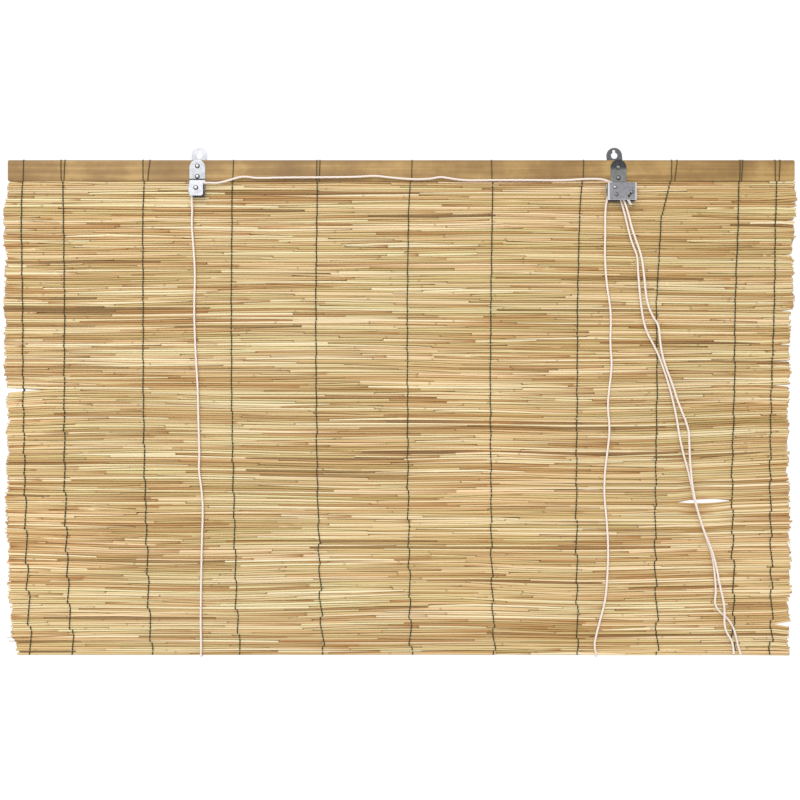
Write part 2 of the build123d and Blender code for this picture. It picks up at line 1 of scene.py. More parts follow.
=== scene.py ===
import bpy
import math
import random
import numpy as np
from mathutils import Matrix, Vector


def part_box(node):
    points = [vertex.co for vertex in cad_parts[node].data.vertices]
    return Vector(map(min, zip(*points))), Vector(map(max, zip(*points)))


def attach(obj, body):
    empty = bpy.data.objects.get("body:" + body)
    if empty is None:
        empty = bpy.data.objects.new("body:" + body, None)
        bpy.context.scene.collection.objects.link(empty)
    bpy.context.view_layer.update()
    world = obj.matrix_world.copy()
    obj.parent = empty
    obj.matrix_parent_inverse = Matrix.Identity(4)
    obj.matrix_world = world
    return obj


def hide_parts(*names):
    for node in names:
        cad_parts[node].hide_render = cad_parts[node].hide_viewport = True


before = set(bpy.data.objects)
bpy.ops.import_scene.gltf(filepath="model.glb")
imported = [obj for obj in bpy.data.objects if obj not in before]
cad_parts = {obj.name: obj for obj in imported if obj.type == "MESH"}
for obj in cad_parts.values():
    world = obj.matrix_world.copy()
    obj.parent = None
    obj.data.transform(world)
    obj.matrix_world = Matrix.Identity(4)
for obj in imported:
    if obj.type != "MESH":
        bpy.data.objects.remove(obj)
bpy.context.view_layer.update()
bpy.ops.object.select_all(action="DESELECT")
mm = 0.001


# Small helpers for shader nodes and materials, and for reading x along a course

def addNode(tree, kind, x, y, **sockets):
    node = tree.nodes.new(kind)
    node.location = (x, y)
    for name, value in sockets.items():
        node.inputs[name.replace("_", " ")].default_value = value
    return node


def newGroup(name, inputs, outputs):
    group = bpy.data.node_groups.new(name, "ShaderNodeTree")
    for label, kind in inputs:
        group.interface.new_socket(label, in_out="INPUT", socket_type=kind)
    for label, kind in outputs:
        group.interface.new_socket(label, in_out="OUTPUT", socket_type=kind)
    return group, addNode(group, "NodeGroupInput", -900, 0), addNode(group, "NodeGroupOutput", 600, 0)


def mathNode(tree, operation, x, y, first, second=None):
    node = addNode(tree, "ShaderNodeMath", x, y)
    node.operation = operation
    for place, value in enumerate((first, second)):
        if isinstance(value, bpy.types.NodeSocket):
            tree.links.new(value, node.inputs[place])
        elif value is not None:
            node.inputs[place].default_value = value
    return node.outputs[0]


def mixColour(tree, x, y, share, first, second, blend="MIX"):
    node = addNode(tree, "ShaderNodeMix", x, y)
    node.data_type = "RGBA"
    node.blend_type = blend
    if isinstance(share, bpy.types.NodeSocket):
        tree.links.new(share, node.inputs[0])
    else:
        node.inputs[0].default_value = share
    for socket, value in ((node.inputs[6], first), (node.inputs[7], second)):
        if isinstance(value, bpy.types.NodeSocket):
            tree.links.new(value, socket)
        else:
            socket.default_value = value
    return node.outputs[2]


def colourRamp(tree, x, y, value, stops):
    node = addNode(tree, "ShaderNodeValToRGB", x, y)
    tree.links.new(value, node.inputs[0])
    ramp = node.color_ramp
    while len(ramp.elements) < len(stops):
        ramp.elements.new(0.5)
    for element, (place, colour) in zip(ramp.elements, stops):
        element.position = place
        element.color = (*colour, 1)
    return node.outputs[0]


def remap(tree, x, y, value, low, high, top=1.0):
    # 0 at low, rising to top at high
    node = addNode(tree, "ShaderNodeMapRange", x, y)
    node.inputs["From Min"].default_value = low
    node.inputs["From Max"].default_value = high
    node.inputs["To Max"].default_value = top
    tree.links.new(value, node.inputs["Value"])
    return node.outputs[0]


def splitAxes(tree, x, y, vector):
    node = addNode(tree, "ShaderNodeSeparateXYZ", x, y)
    tree.links.new(vector, node.inputs[0])
    return node.outputs


def noiseAt(tree, x, y, vector, **sockets):
    node = addNode(tree, "ShaderNodeTexNoise", x, y, **sockets)
    tree.links.new(vector, node.inputs["Vector"])
    return node.outputs[0]


def newMaterial(name):
    material = bpy.data.materials.new(name)
    material.use_nodes = True
    tree = material.node_tree
    shader = tree.nodes["Principled BSDF"]
    shader.location = (500, 0)
    tree.nodes["Material Output"].location = (800, 0)
    return material, tree, shader


def addBump(tree, shader, height, bump):
    strength, distance = bump
    node = addNode(tree, "ShaderNodeBump", 250, -300, Strength=strength, Distance=distance)
    tree.links.new(height, node.inputs["Height"])
    tree.links.new(node.outputs[0], shader.inputs["Normal"])


def alongCourse(course, depth):
    # x at one depth of a course of (depth, x) pairs, on straight lines from pair to pair
    for (depthA, xA), (depthB, xB) in zip(course, course[1:]):
        if depth <= depthB:
            return xA + (xB - xA) * (depth - depthA) / (depthB - depthA)
    return course[-1][1]


# Node groups for the finishes

noiseSettings = {
    "shiftStep": 37.0,
    "scratchFiner": 8.0,
    "scratchStretch": (1.0, 1.0, 0.12),
    "scratchTurn": (0, 0.5, 0),
}


def makeFibreGrain():
    # long fibres along x, as in split bamboo and reed
    group, into, out = newGroup("fibreGrain", [
        ("Vector", "NodeSocketVector"),
        ("Shift", "NodeSocketFloat"),
        ("Along", "NodeSocketFloat"),
        ("Across", "NodeSocketFloat"),
    ], [("Fibre", "NodeSocketFloat"), ("Patch", "NodeSocketFloat")])
    scale = addNode(group, "ShaderNodeCombineXYZ", -700, 100)
    group.links.new(into.outputs["Along"], scale.inputs[0])
    group.links.new(into.outputs["Across"], scale.inputs[1])
    group.links.new(into.outputs["Across"], scale.inputs[2])
    stretched = addNode(group, "ShaderNodeVectorMath", -500, 100)
    stretched.operation = "MULTIPLY"
    group.links.new(into.outputs["Vector"], stretched.inputs[0])
    group.links.new(scale.outputs[0], stretched.inputs[1])
    moved = addNode(group, "ShaderNodeVectorMath", -300, 100)
    group.links.new(stretched.outputs[0], moved.inputs[0])
    apart = mathNode(group, "MULTIPLY", -500, -150, into.outputs["Shift"], noiseSettings["shiftStep"])
    group.links.new(apart, moved.inputs[1])
    fibre = noiseAt(group, -100, 150, moved.outputs[0], Scale=1.0, Detail=3.0, Roughness=0.6)
    patch = noiseAt(group, -100, -150, moved.outputs[0], Scale=0.22, Detail=2.0)
    group.links.new(fibre, out.inputs["Fibre"])
    group.links.new(patch, out.inputs["Patch"])
    return group


def makeTwistedYarn():
    # slanting strands round a cord, from its length and turn in the UV map
    group, into, out = newGroup("twistedYarn", [
        ("Vector", "NodeSocketVector"),
        ("Turns", "NodeSocketFloat"),
        ("Strands", "NodeSocketFloat"),
    ], [("Height", "NodeSocketFloat")])
    length, turn, _ = splitAxes(group, -700, 0, into.outputs["Vector"])
    along = mathNode(group, "MULTIPLY", -500, 100, length, into.outputs["Turns"])
    around = mathNode(group, "MULTIPLY", -500, -100, turn, into.outputs["Strands"])
    slant = mathNode(group, "ADD", -300, 0, along, around)
    angle = mathNode(group, "MULTIPLY", -150, 0, slant, 2 * math.pi)
    wave = mathNode(group, "SINE", 0, 0, angle)
    half = mathNode(group, "MULTIPLY", 150, 0, wave, 0.5)
    height = mathNode(group, "ADD", 300, 0, half, 0.5)
    group.links.new(height, out.inputs["Height"])
    return group


def makeMetalMarks():
    # soft spangle and fine scratches on plated sheet
    group, into, out = newGroup("metalMarks", [
        ("Vector", "NodeSocketVector"),
        ("Size", "NodeSocketFloat"),
    ], [("Spangle", "NodeSocketFloat"), ("Scratch", "NodeSocketFloat")])
    spangle = addNode(group, "ShaderNodeTexNoise", -400, 150, Detail=3.0, Roughness=0.55)
    scratch = addNode(group, "ShaderNodeTexNoise", -400, -200, Detail=2.0, Distortion=0.4)
    stretch = addNode(group, "ShaderNodeMapping", -600, -200, Scale=noiseSettings["scratchStretch"])
    stretch.inputs["Rotation"].default_value = noiseSettings["scratchTurn"]
    group.links.new(into.outputs["Vector"], spangle.inputs["Vector"])
    group.links.new(into.outputs["Vector"], stretch.inputs["Vector"])
    group.links.new(stretch.outputs[0], scratch.inputs["Vector"])
    group.links.new(into.outputs["Size"], spangle.inputs["Scale"])
    finer = mathNode(group, "MULTIPLY", -600, -400, into.outputs["Size"], noiseSettings["scratchFiner"])
    group.links.new(finer, scratch.inputs["Scale"])
    group.links.new(spangle.outputs[0], out.inputs["Spangle"])
    group.links.new(scratch.outputs[0], out.inputs["Scratch"])
    return group


fibreGrain = makeFibreGrain()
twistedYarn = makeTwistedYarn()
metalMarks = makeMetalMarks()


def placeGroup(tree, group, x, y, **sockets):
    node = addNode(tree, "ShaderNodeGroup", x, y)
    node.node_tree = group
    for name, value in sockets.items():
        node.inputs[name].default_value = value
    return node


# Finishes

slatFinish = {
    "tones": [(0.42, (0.186, 0.099, 0.024)), (0.55, (0.258, 0.148, 0.041)), (0.68, (0.385, 0.240, 0.079))],
    "fibreShare": 0.38,
    "blotchShare": 0.72,
    # painted shade: the slat's top edge is darkened towards this colour
    "edge": (0.13, 0.075, 0.032, 1),
    "topShadeStart": -0.0102,
    "topShadeEnd": -0.0086,
    "paintedEdgeShare": 0.6,
    "roughness": 0.55,
    "bump": (0.25, 0.0004),
}


def makeSlatMaterial():
    # brown fibres and blotches, with painted shade darkening the top edge
    material, tree, shader = newMaterial("planedBamboo")
    place = addNode(tree, "ShaderNodeTexCoord", -900, 0)
    grain = placeGroup(tree, fibreGrain, -700, 0, Along=5.0, Across=230.0)
    tree.links.new(place.outputs["Object"], grain.inputs["Vector"])
    blotch = noiseAt(tree, -700, -300, place.outputs["Object"], Scale=11.0, Detail=5.0, Roughness=0.65)
    fibre = mathNode(tree, "MULTIPLY", -450, 100, grain.outputs["Fibre"], slatFinish["fibreShare"])
    spread = mathNode(tree, "MULTIPLY", -450, -100, blotch, slatFinish["blotchShare"])
    tone = mathNode(tree, "ADD", -250, 0, fibre, spread)
    colour = colourRamp(tree, -50, 0, tone, slatFinish["tones"])
    height = splitAxes(tree, -450, 300, place.outputs["Object"])[2]
    # painted shade along the top edge, rising with height
    paintedTopShade = remap(
        tree, -250, 300, height, slatFinish["topShadeStart"], slatFinish["topShadeEnd"], slatFinish["paintedEdgeShare"]
    )
    withTopShade = mixColour(tree, 250, 150, paintedTopShade, colour, slatFinish["edge"])
    tree.links.new(withTopShade, shader.inputs["Base Color"])
    shader.inputs["Roughness"].default_value = slatFinish["roughness"]
    addBump(tree, shader, grain.outputs["Fibre"], slatFinish["bump"])
    return material


reedFinish = {
    "tones": [
        (0.00, (0.179, 0.089, 0.023)),
        (0.14, (0.300, 0.172, 0.052)),
        (0.32, (0.426, 0.279, 0.099)),
        (0.52, (0.557, 0.406, 0.185)),
        (0.74, (0.655, 0.518, 0.283)),
        (1.00, (0.768, 0.656, 0.428)),
    ],
    "sheath": (0.355, 0.165, 0.04, 1),
    "knot": (0.11, 0.045, 0.012, 1),
    "tints": [(0.0, (0.93, 0.97, 0.84)), (0.5, (1.0, 1.0, 1.0)), (1.0, (1.0, 0.87, 0.82))],
    "areas": [(0.38, (1.0, 0.965, 0.92)), (0.62, (0.95, 0.97, 0.97))],
    "fibreShare": 0.22,
    "patchShare": 0.30,
    "grainMiddle": 0.26,
    "roughness": 0.5,
    "bump": (0.3, 0.0002),
}


def makeReedMaterial():
    # the colour attribute holds each reed's tone, sheath, knot and tint; its knot channel also carries
    # painted shade in the hollow ends
    material, tree, shader = newMaterial("dryReed")
    place = addNode(tree, "ShaderNodeTexCoord", -1100, 0)
    marks = addNode(tree, "ShaderNodeAttribute", -1100, -300)
    marks.attribute_name = "reedMarksAndHollowShade"
    parts = addNode(tree, "ShaderNodeSeparateColor", -900, -300)
    tree.links.new(marks.outputs["Color"], parts.inputs[0])
    grain = placeGroup(tree, fibreGrain, -700, 0, Along=14.0, Across=1500.0)
    tree.links.new(place.outputs["Object"], grain.inputs["Vector"])
    tree.links.new(parts.outputs[0], grain.inputs["Shift"])
    fibre = mathNode(tree, "MULTIPLY", -500, 100, grain.outputs["Fibre"], reedFinish["fibreShare"])
    patch = mathNode(tree, "MULTIPLY", -500, -50, grain.outputs["Patch"], reedFinish["patchShare"])
    both = mathNode(tree, "ADD", -350, 50, fibre, patch)
    centred = mathNode(tree, "SUBTRACT", -200, 50, both, reedFinish["grainMiddle"])
    tone = mathNode(tree, "ADD", -50, 50, parts.outputs[0], centred)
    colour = colourRamp(tree, 100, 100, tone, reedFinish["tones"])
    tint = colourRamp(tree, -50, 400, marks.outputs["Alpha"], reedFinish["tints"])
    tinted = mixColour(tree, 150, 300, 1.0, colour, tint, "MULTIPLY")
    cloud = noiseAt(tree, -500, 600, place.outputs["Object"], Scale=2.4, Detail=2.0)
    area = colourRamp(tree, -250, 600, cloud, reedFinish["areas"])
    toned = mixColour(tree, 200, 500, 1.0, tinted, area, "MULTIPLY")
    sheath = mixColour(tree, 250, 100, parts.outputs[1], toned, reedFinish["sheath"])
    # the knot colour also paints shade into the hollow ends
    knot = mixColour(tree, 380, 100, parts.outputs[2], sheath, reedFinish["knot"])
    tree.links.new(knot, shader.inputs["Base Color"])
    shader.inputs["Roughness"].default_value = reedFinish["roughness"]
    addBump(tree, shader, grain.outputs["Fibre"], reedFinish["bump"])
    return material


twineFinish = {
    "tones": [(0.35, (0.010, 0.013, 0.004)), (0.7, (0.055, 0.066, 0.020))],
    "onRail": (0.085, 0.045, 0.015, 1),
    "railStart": -0.040,
    "railEnd": -0.034,
    "railShare": 0.6,
    "roughness": 0.8,
    "bump": (0.6, 0.0003),
}


def makeTwineMaterial():
    # green-black on the mat, faded to brown over the headrail
    material, tree, shader = newMaterial("darkTwine")
    place = addNode(tree, "ShaderNodeTexCoord", -700, 0)
    fuzz = noiseAt(tree, -450, 0, place.outputs["Object"], Scale=1800.0, Detail=3.0)
    colour = colourRamp(tree, -200, 0, fuzz, twineFinish["tones"])
    height = splitAxes(tree, -450, 300, place.outputs["Object"])[2]
    faded = remap(
        tree, -200, 300, height, twineFinish["railStart"], twineFinish["railEnd"], twineFinish["railShare"]
    )
    browned = mixColour(tree, 100, 100, faded, colour, twineFinish["onRail"])
    tree.links.new(browned, shader.inputs["Base Color"])
    shader.inputs["Roughness"].default_value = twineFinish["roughness"]
    addBump(tree, shader, fuzz, twineFinish["bump"])
    return material


cordFinish = {
    # painted shade: the darker tone lies in the grooves between the twisted strands, and the fuzz adds real
    # tone
    "tones": [(0.2, (0.45, 0.36, 0.31)), (0.75, (0.80, 0.71, 0.65))],
    "turns": 420.0,
    "strands": 3.0,
    "fuzzShare": 0.6,
    "roughness": 0.85,
    "bump": (0.5, 0.0004),
}


def makeCordMaterial():
    material, tree, shader = newMaterial("cottonCord")
    place = addNode(tree, "ShaderNodeTexCoord", -900, 0)
    yarn = placeGroup(
        tree, twistedYarn, -650, 0, Turns=cordFinish["turns"], Strands=cordFinish["strands"]
    )
    tree.links.new(place.outputs["UV"], yarn.inputs["Vector"])
    fuzz = noiseAt(tree, -650, -300, place.outputs["Object"], Scale=900.0, Detail=3.0)
    softened = mathNode(tree, "MULTIPLY", -450, -250, fuzz, cordFinish["fuzzShare"])
    both = mathNode(tree, "ADD", -300, -100, yarn.outputs["Height"], softened)
    # painted shade in the strand grooves, mixed with real fuzz tone
    colour = colourRamp(tree, -100, 0, both, cordFinish["tones"])
    tree.links.new(colour, shader.inputs["Base Color"])
    shader.inputs["Roughness"].default_value = cordFinish["roughness"]
    addBump(tree, shader, both, cordFinish["bump"])
    return material


zincFinish = {
    "lowest": -0.065,
    "highest": 0.012,
    # painted highlight: the strap is lighter at its top, round the hanger eye
    "strap": [(0.0, (0.30, 0.30, 0.325)), (0.80, (0.30, 0.30, 0.325)), (0.90, (0.35, 0.35, 0.37))],
    # painted shadow: a near-black band where the cover meets the plate above it, and a painted reflection
    # gradient, lighter below the band and darker above
    "bracket": [
        (0.000, (0.37, 0.375, 0.40)), (0.396, (0.40, 0.405, 0.43)), (0.402, (0.035, 0.04, 0.04)),
        (0.418, (0.035, 0.04, 0.04)), (0.426, (0.30, 0.31, 0.32)), (1.0, (0.36, 0.36, 0.385)),
    ],
    # painted light: a painted highlight on the lug at the bottom, a painted shadow line where the box meets
    # the plate, and painted shade and reflection darkening the plate and strap above
    "right": [
        (0.00, (0.80, 0.80, 0.80)),
        (0.035, (0.70, 0.70, 0.71)),
        (0.055, (0.33, 0.325, 0.35)),
        (0.33, (0.30, 0.30, 0.325)),
        (0.35, (0.10, 0.105, 0.105)),
        (0.38, (0.25, 0.26, 0.25)),
        (0.56, (0.23, 0.24, 0.23)),
        (0.61, (0.075, 0.078, 0.08)),
        (0.73, (0.06, 0.062, 0.066)),
        (0.77, (0.14, 0.145, 0.15)),
        (1.00, (0.17, 0.175, 0.18)),
    ],
    # painted highlight: faces turned sideways, and bands near the lock's sides, are mixed towards this bright
    # tone
    "edge": (0.80, 0.80, 0.82, 1),
    "highlightBandsFrom": 0.245,
    "highlightBandsTo": 0.295,
    "highlightBands": [
        (0.178, (0.8,) * 3), (0.198, (0.0,) * 3), (0.825, (0.0,) * 3), (0.848, (0.8,) * 3),
    ],
    "mottle": [(0.3, (0.72,) * 3), (0.7, (1.0,) * 3)],
    "paintedEdgeShare": 0.85,
    "smoothest": 0.24,
    "scratchShare": 0.25,
    "bump": (0.08, 0.0002),
}


def makeZincMaterial(name, stops, highlightBands=None):
    # plated sheet: painted light and shade up its height, spangle, and a painted highlight on faces turned
    # sideways and on bands near the lock's sides
    material, tree, shader = newMaterial(name)
    place = addNode(tree, "ShaderNodeTexCoord", -1000, 0)
    marks = placeGroup(tree, metalMarks, -750, -150, Size=240.0)
    tree.links.new(place.outputs["Object"], marks.inputs["Vector"])
    parts = splitAxes(tree, -750, 150, place.outputs["Object"])
    # painted light and shade set by height
    height = remap(tree, -550, 150, parts[2], zincFinish["lowest"], zincFinish["highest"])
    tone = colourRamp(tree, -350, 150, height, stops)
    cloud = colourRamp(tree, -350, -150, marks.outputs["Spangle"], zincFinish["mottle"])
    mottled = mixColour(tree, -100, 100, 1.0, tone, cloud, "MULTIPLY")
    # painted highlight on faces turned sideways
    facing = splitAxes(tree, -750, 400, place.outputs["Normal"])
    sideways = mathNode(tree, "ABSOLUTE", -550, 400, facing[0])
    edge = mathNode(tree, "MULTIPLY", -350, 400, sideways, zincFinish["paintedEdgeShare"])
    if highlightBands:
        # painted highlight bands near the lock's left and right sides
        across = remap(tree, -550, 650, parts[0], zincFinish["highlightBandsFrom"], zincFinish["highlightBandsTo"])
        highlightBand = colourRamp(tree, -350, 650, across, highlightBands)
        edge = mathNode(tree, "MAXIMUM", -50, 500, edge, highlightBand)
    colour = mixColour(tree, 150, 100, edge, mottled, zincFinish["edge"])
    tree.links.new(colour, shader.inputs["Base Color"])
    rougher = mathNode(tree, "MULTIPLY", -100, -200, marks.outputs["Scratch"], zincFinish["scratchShare"])
    roughness = mathNode(tree, "ADD", 50, -200, rougher, zincFinish["smoothest"])
    tree.links.new(roughness, shader.inputs["Roughness"])
    shader.inputs["Metallic"].default_value = 1.0
    addBump(tree, shader, marks.outputs["Scratch"], zincFinish["bump"])
    return material


pinFinish = {
    "steel": (0.50, 0.51, 0.54),
    "shadedSteelTint": (0.24, 0.245, 0.25),
    # painted shade: a darker copy of the steel for the rivets and pins on the right
    "brass": (0.42, 0.33, 0.17),
    # painted shade: faces turned sideways, round the foot of a dome, go dark
    "footShade": [(0.66, (0.05, 0.05, 0.055)), (0.86, (0.10, 0.10, 0.11))],
    "crownFrom": 0.96,
    "mottle": [(0.3, (0.8,) * 3), (0.7, (1.0,) * 3)],
    "roughness": 0.34,
    "bump": (0.06, 0.0001),
}


def makePinMaterial(name, tint):
    # domed heads and turned faces: the metal's tint where faces turn to the front or back, and painted shade
    # round the foot of the dome
    material, tree, shader = newMaterial(name)
    place = addNode(tree, "ShaderNodeTexCoord", -900, 0)
    facing = splitAxes(tree, -700, 100, place.outputs["Normal"])
    crown = mathNode(tree, "ABSOLUTE", -500, 100, facing[1])
    stops = [*pinFinish["footShade"], (pinFinish["crownFrom"], tint)]
    # painted shade: the more a face turns sideways, the darker
    footShade = colourRamp(tree, -300, 100, crown, stops)
    marks = placeGroup(tree, metalMarks, -700, -200, Size=600.0)
    tree.links.new(place.outputs["Object"], marks.inputs["Vector"])
    cloud = colourRamp(tree, -300, -200, marks.outputs["Spangle"], pinFinish["mottle"])
    colour = mixColour(tree, 0, 100, 1.0, footShade, cloud, "MULTIPLY")
    tree.links.new(colour, shader.inputs["Base Color"])
    shader.inputs["Metallic"].default_value = 1.0
    shader.inputs["Roughness"].default_value = pinFinish["roughness"]
    addBump(tree, shader, marks.outputs["Scratch"], pinFinish["bump"])
    return material


slatMaterial = makeSlatMaterial()
reedMaterial = makeReedMaterial()
twineMaterial = makeTwineMaterial()
cordMaterial = makeCordMaterial()
strapZinc = makeZincMaterial("strapZinc", zincFinish["strap"])
bracketZinc = makeZincMaterial("bracketZinc", zincFinish["bracket"])
hangerZinc = makeZincMaterial("hangerZinc", zincFinish["right"])
lockZinc = makeZincMaterial("lockZinc", zincFinish["right"], zincFinish["highlightBands"])
pinSteel = makePinMaterial("pinSteel", pinFinish["steel"])
# painted shade: darker copy of the steel, used on the right
shadedSteel = makePinMaterial("shadedSteel", pinFinish["shadedSteelTint"])
turnedBrass = makePinMaterial("turnedBrass", pinFinish["brass"])
print("finishes made")


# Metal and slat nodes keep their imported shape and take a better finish

nodeFinishes = {
    "headrail": slatMaterial,
    "left_hanger_strap": strapZinc,
    "left_pulley_bracket": bracketZinc,
    "left_pulley_wheel": strapZinc,
    "right_hanger_strap": hangerZinc,
    "cord_lock_body": lockZinc,
    "left_pulley_axle": pinSteel,
    "left_upper_rivet": pinSteel,
    "left_lower_rivet": pinSteel,
    "right_upper_rivet": shadedSteel,
    "right_lower_rivet": shadedSteel,
    "lock_guide_axle": pinSteel,
    "lock_fixed_pin": shadedSteel,
    "lock_grip_pin": shadedSteel,
    "lock_guide_spool": turnedBrass,
    "lock_fixed_roller": turnedBrass,
    "lock_grip_roller": turnedBrass,
}
for nodeName, material in nodeFinishes.items():
    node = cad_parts[nodeName]
    node.data.materials.clear()
    node.data.materials.append(material)
print("packed nodes finished")


# The mat's rows, shared by the reeds and the stitches. Depths and places are in mm. A parting has the
# row above it, the x where it starts to open, the x where it is widest, and half its height there. The
# lost reed leaves a lens-shaped opening.

mat = {
    "rows": 111,
    "pitch": 5.42,
    "firstDepth": 38.11,
    "frontY": -9.3,
    "backY": -3.7,
    "left": [(35, -506.5), (78, -512.8), (125, -510.3), (215, -511.6), (290, -509.0),
             (364, -506.8), (440, -509.2), (520, -506.4), (580, -503.6), (640, -499.8)],
    "right": [(35, 494.6), (62, 495.4), (100, 490.6), (165, 491.8), (235, 486.8),
              (350, 484.2), (440, 485.2), (530, 487.0), (640, 484.0)],
    "partings": [
        (4, 474.0, 495.0, 0.9), (5, 471.0, 495.0, 0.9), (8, 472.5, 494.0, 1.0), (16, 474.0, 492.0, 1.0),
        (29, 471.5, 489.0, 1.2), (37, 470.0, 488.0, 1.1), (41, 472.0, 488.0, 1.1), (47, 469.0, 486.0, 1.5),
        (48, -457.0, -509.0, 3.0), (103, 467.5, 485.0, 2.8),
    ],
    "partingFade": 4.0,
    "partingReach": 7,
    "widePartingFrom": 2,
    "riseFrom": 110.0,
    "riseLength": 285.0,
    "riseHeight": 3.9,
    "riseRow": 45,
    "lostRow": 74,
    "lostX": 379.0,
    "lostHalfLength": 38.0,
    "lostHalfHeight": 2.6,
    "lostReach": 9,
    "swayTop": 0.7,
    "swayGrow": 1.4,
    "swayWaves": [(0.9, 151.0, 0.07, 0.0), (0.6, 67.0, -0.13, 1.7)],
    "calmTopRows": 6,
    "calmBottomRows": 12,
    "sideWaves": [(1.1, 0.83, 0.0), (0.8, 0.37, 1.0)],
    "sideScatter": 1.0,
    "cornerRows": 5,
    "cornerStep": 1.6,
}
reedBox = [Vector(corner) * 1000 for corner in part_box("reed_mat")]


def rowDepth(row):
    return mat["firstDepth"] + row * mat["pitch"]


def isByLens(row):
    return abs(row - mat["lostRow"]) < mat["lostReach"]


def pushApart(row, rowAbove, halfHeight):
    away = row - rowAbove - 0.5
    push = halfHeight * math.exp((0.5 - abs(away)) / mat["partingFade"])
    return push if away < 0 else -push


def openness(x, row):
    # how far the rows are pushed up or down at x by the mat's openings, and how open one is below this row
    pushed, opened = 0, 0
    for rowAbove, inner, outer, halfHeight in mat["partings"]:
        share = min(1, max(0, (x - inner) / (outer - inner)))
        pushed += pushApart(row, rowAbove, halfHeight * share)
        if row == rowAbove:
            opened = max(opened, share)
    reach = abs(x - mat["lostX"]) / mat["lostHalfLength"]
    if reach < 1:
        share = math.cos(reach * math.pi / 2)
        pushed += pushApart(row, mat["lostRow"], mat["lostHalfHeight"] * share)
        if row == mat["lostRow"]:
            opened = max(opened, share)
    return pushed, opened


def rowSway(x, row):
    # how far a row lies above its even place: long lazy waves, steeper low down, and a dip low on
    # the right from which the rows rise to the side
    lower = mat["swayTop"] + mat["swayGrow"] * row / mat["rows"]
    sway = lower * sum(
        height * math.sin(x / length + row * step + shift) for height, length, step, shift in mat["swayWaves"]
    )
    rise = -mat["riseHeight"] * math.sin(math.pi * max(0, x - mat["riseFrom"]) / mat["riseLength"])
    lowerShare = (row - mat["riseRow"]) / (mat["rows"] - mat["riseRow"])
    rise *= max(0, math.sin(math.pi * lowerShare))
    fromTop = (row + 0.5) / mat["calmTopRows"]
    fromBottom = (mat["rows"] - 0.5 - row) / mat["calmBottomRows"]
    return rise + sway * min(1.0, fromTop, fromBottom)


def rowHeight(x, row):
    return -rowDepth(row) + rowSway(x, row) + openness(x, row)[0]


def sideWander(row, chance):
    # the ragged sides step in and out over a few rows
    wave = sum(width * math.sin(row * step + shift) for width, step, shift in mat["sideWaves"])
    return wave + chance.uniform(-mat["sideScatter"], mat["sideScatter"])


def cornerCut(row):
    # the left side draws in over the last rows
    return mat["cornerStep"] * max(0, row - (mat["rows"] - mat["cornerRows"]))


# Reeds: four lanes to a row, two in front and two behind, thick ends beside thin ends. Lists of nine
# values go with the nine rings of a reed. Splinters are thin ends that stick out at the left: the x of
# each, by its row and whether it is in the upper lane.

reed = {
    "pieces": [
        ("reedsUpper", 0, 28), ("reedsUpperMiddle", 28, 56),
        ("reedsLowerMiddle", 56, 84), ("reedsLower", 84, 111),
    ],
    "sides": 8,
    "segments": 8,
    "hollowInset": 0.45,
    "hollowDepth": -0.5,
    "hollowWithin": 0.9,
    "smoothAngle": 50,
    "seed": 7,
    "seedStep": 1000,
    "rowGap": 0.26,
    "backRowGap": -0.35,
    "backOverlap": 0.75,
    "endSpread": 1.7,
    "tilt": 0.34,
    "backDrop": 1.2,
    "leadIn": (10, 120),
    "runOut": 240,
    "shortest": 52,
    "longest": 150,
    "shortestAtSide": 25,
    "thinnest": 0.13,
    "thickest": 0.42,
    "fullest": 0.6,
    "thicknessSteps": (0.0, 0.06, 0.14, 0.24),
    "leastRadius": 0.4,
    "tip": 1.4,
    "endInset": 0.5,
    "jointSpan": (0.22, 0.78),
    "jointSpread": 2.6,
    "lensMargin": 6,
    "lensEdge": 4,
    "lensRings": (-0.98, -0.5, -0.1, 0.4, 0.98),
    "splinters": {(106, False): -508.6, (107, False): -506.0},
    "splinterTip": 7.0,
    "splinterWidth": 0.3,
    "splinterTone": 0.2,
    "hollow": 1.2,
    # painted shade: the hollow ends take this share of the knot colour
    "hollowShade": 0.9,
    "ringGrow": [0.84, 1.0, 1.0, 0.97, 1.09, 0.96, 1.0, 1.0, 0.84],
    "ringWander": [0, 0, 1, 0, 0, 0, 1, 0, 0],
    "wander": 0.18,
    "toneKinds": [(0.03, 0.04, 0.16), (0.20, 0.28, 0.44), (0.60, 0.46, 0.66), (1.0, 0.66, 0.98)],
    "sheathKinds": [
        (0.20, [0, 0, 0.3, 0.95, 1, 0.1, 0, 0, 0]), (0.38, [0, 0, 0, 0, 0, 0, 0.5, 1, 1]),
        (0.54, [1, 1, 0.55, 0, 0, 0, 0, 0, 0]), (0.60, [0.8] * 9), (1.0, [0] * 9),
    ],
    "sheathStrength": (0.4, 1.0),
    "jointMarks": (0.0, 0.15, 0.45),
    "endMarks": (0.0, 0.5, 0.9),
    "tints": (0.5, 0.5, 0.5, 0.15, 0.35, 0.7, 0.8, 0.95),
}


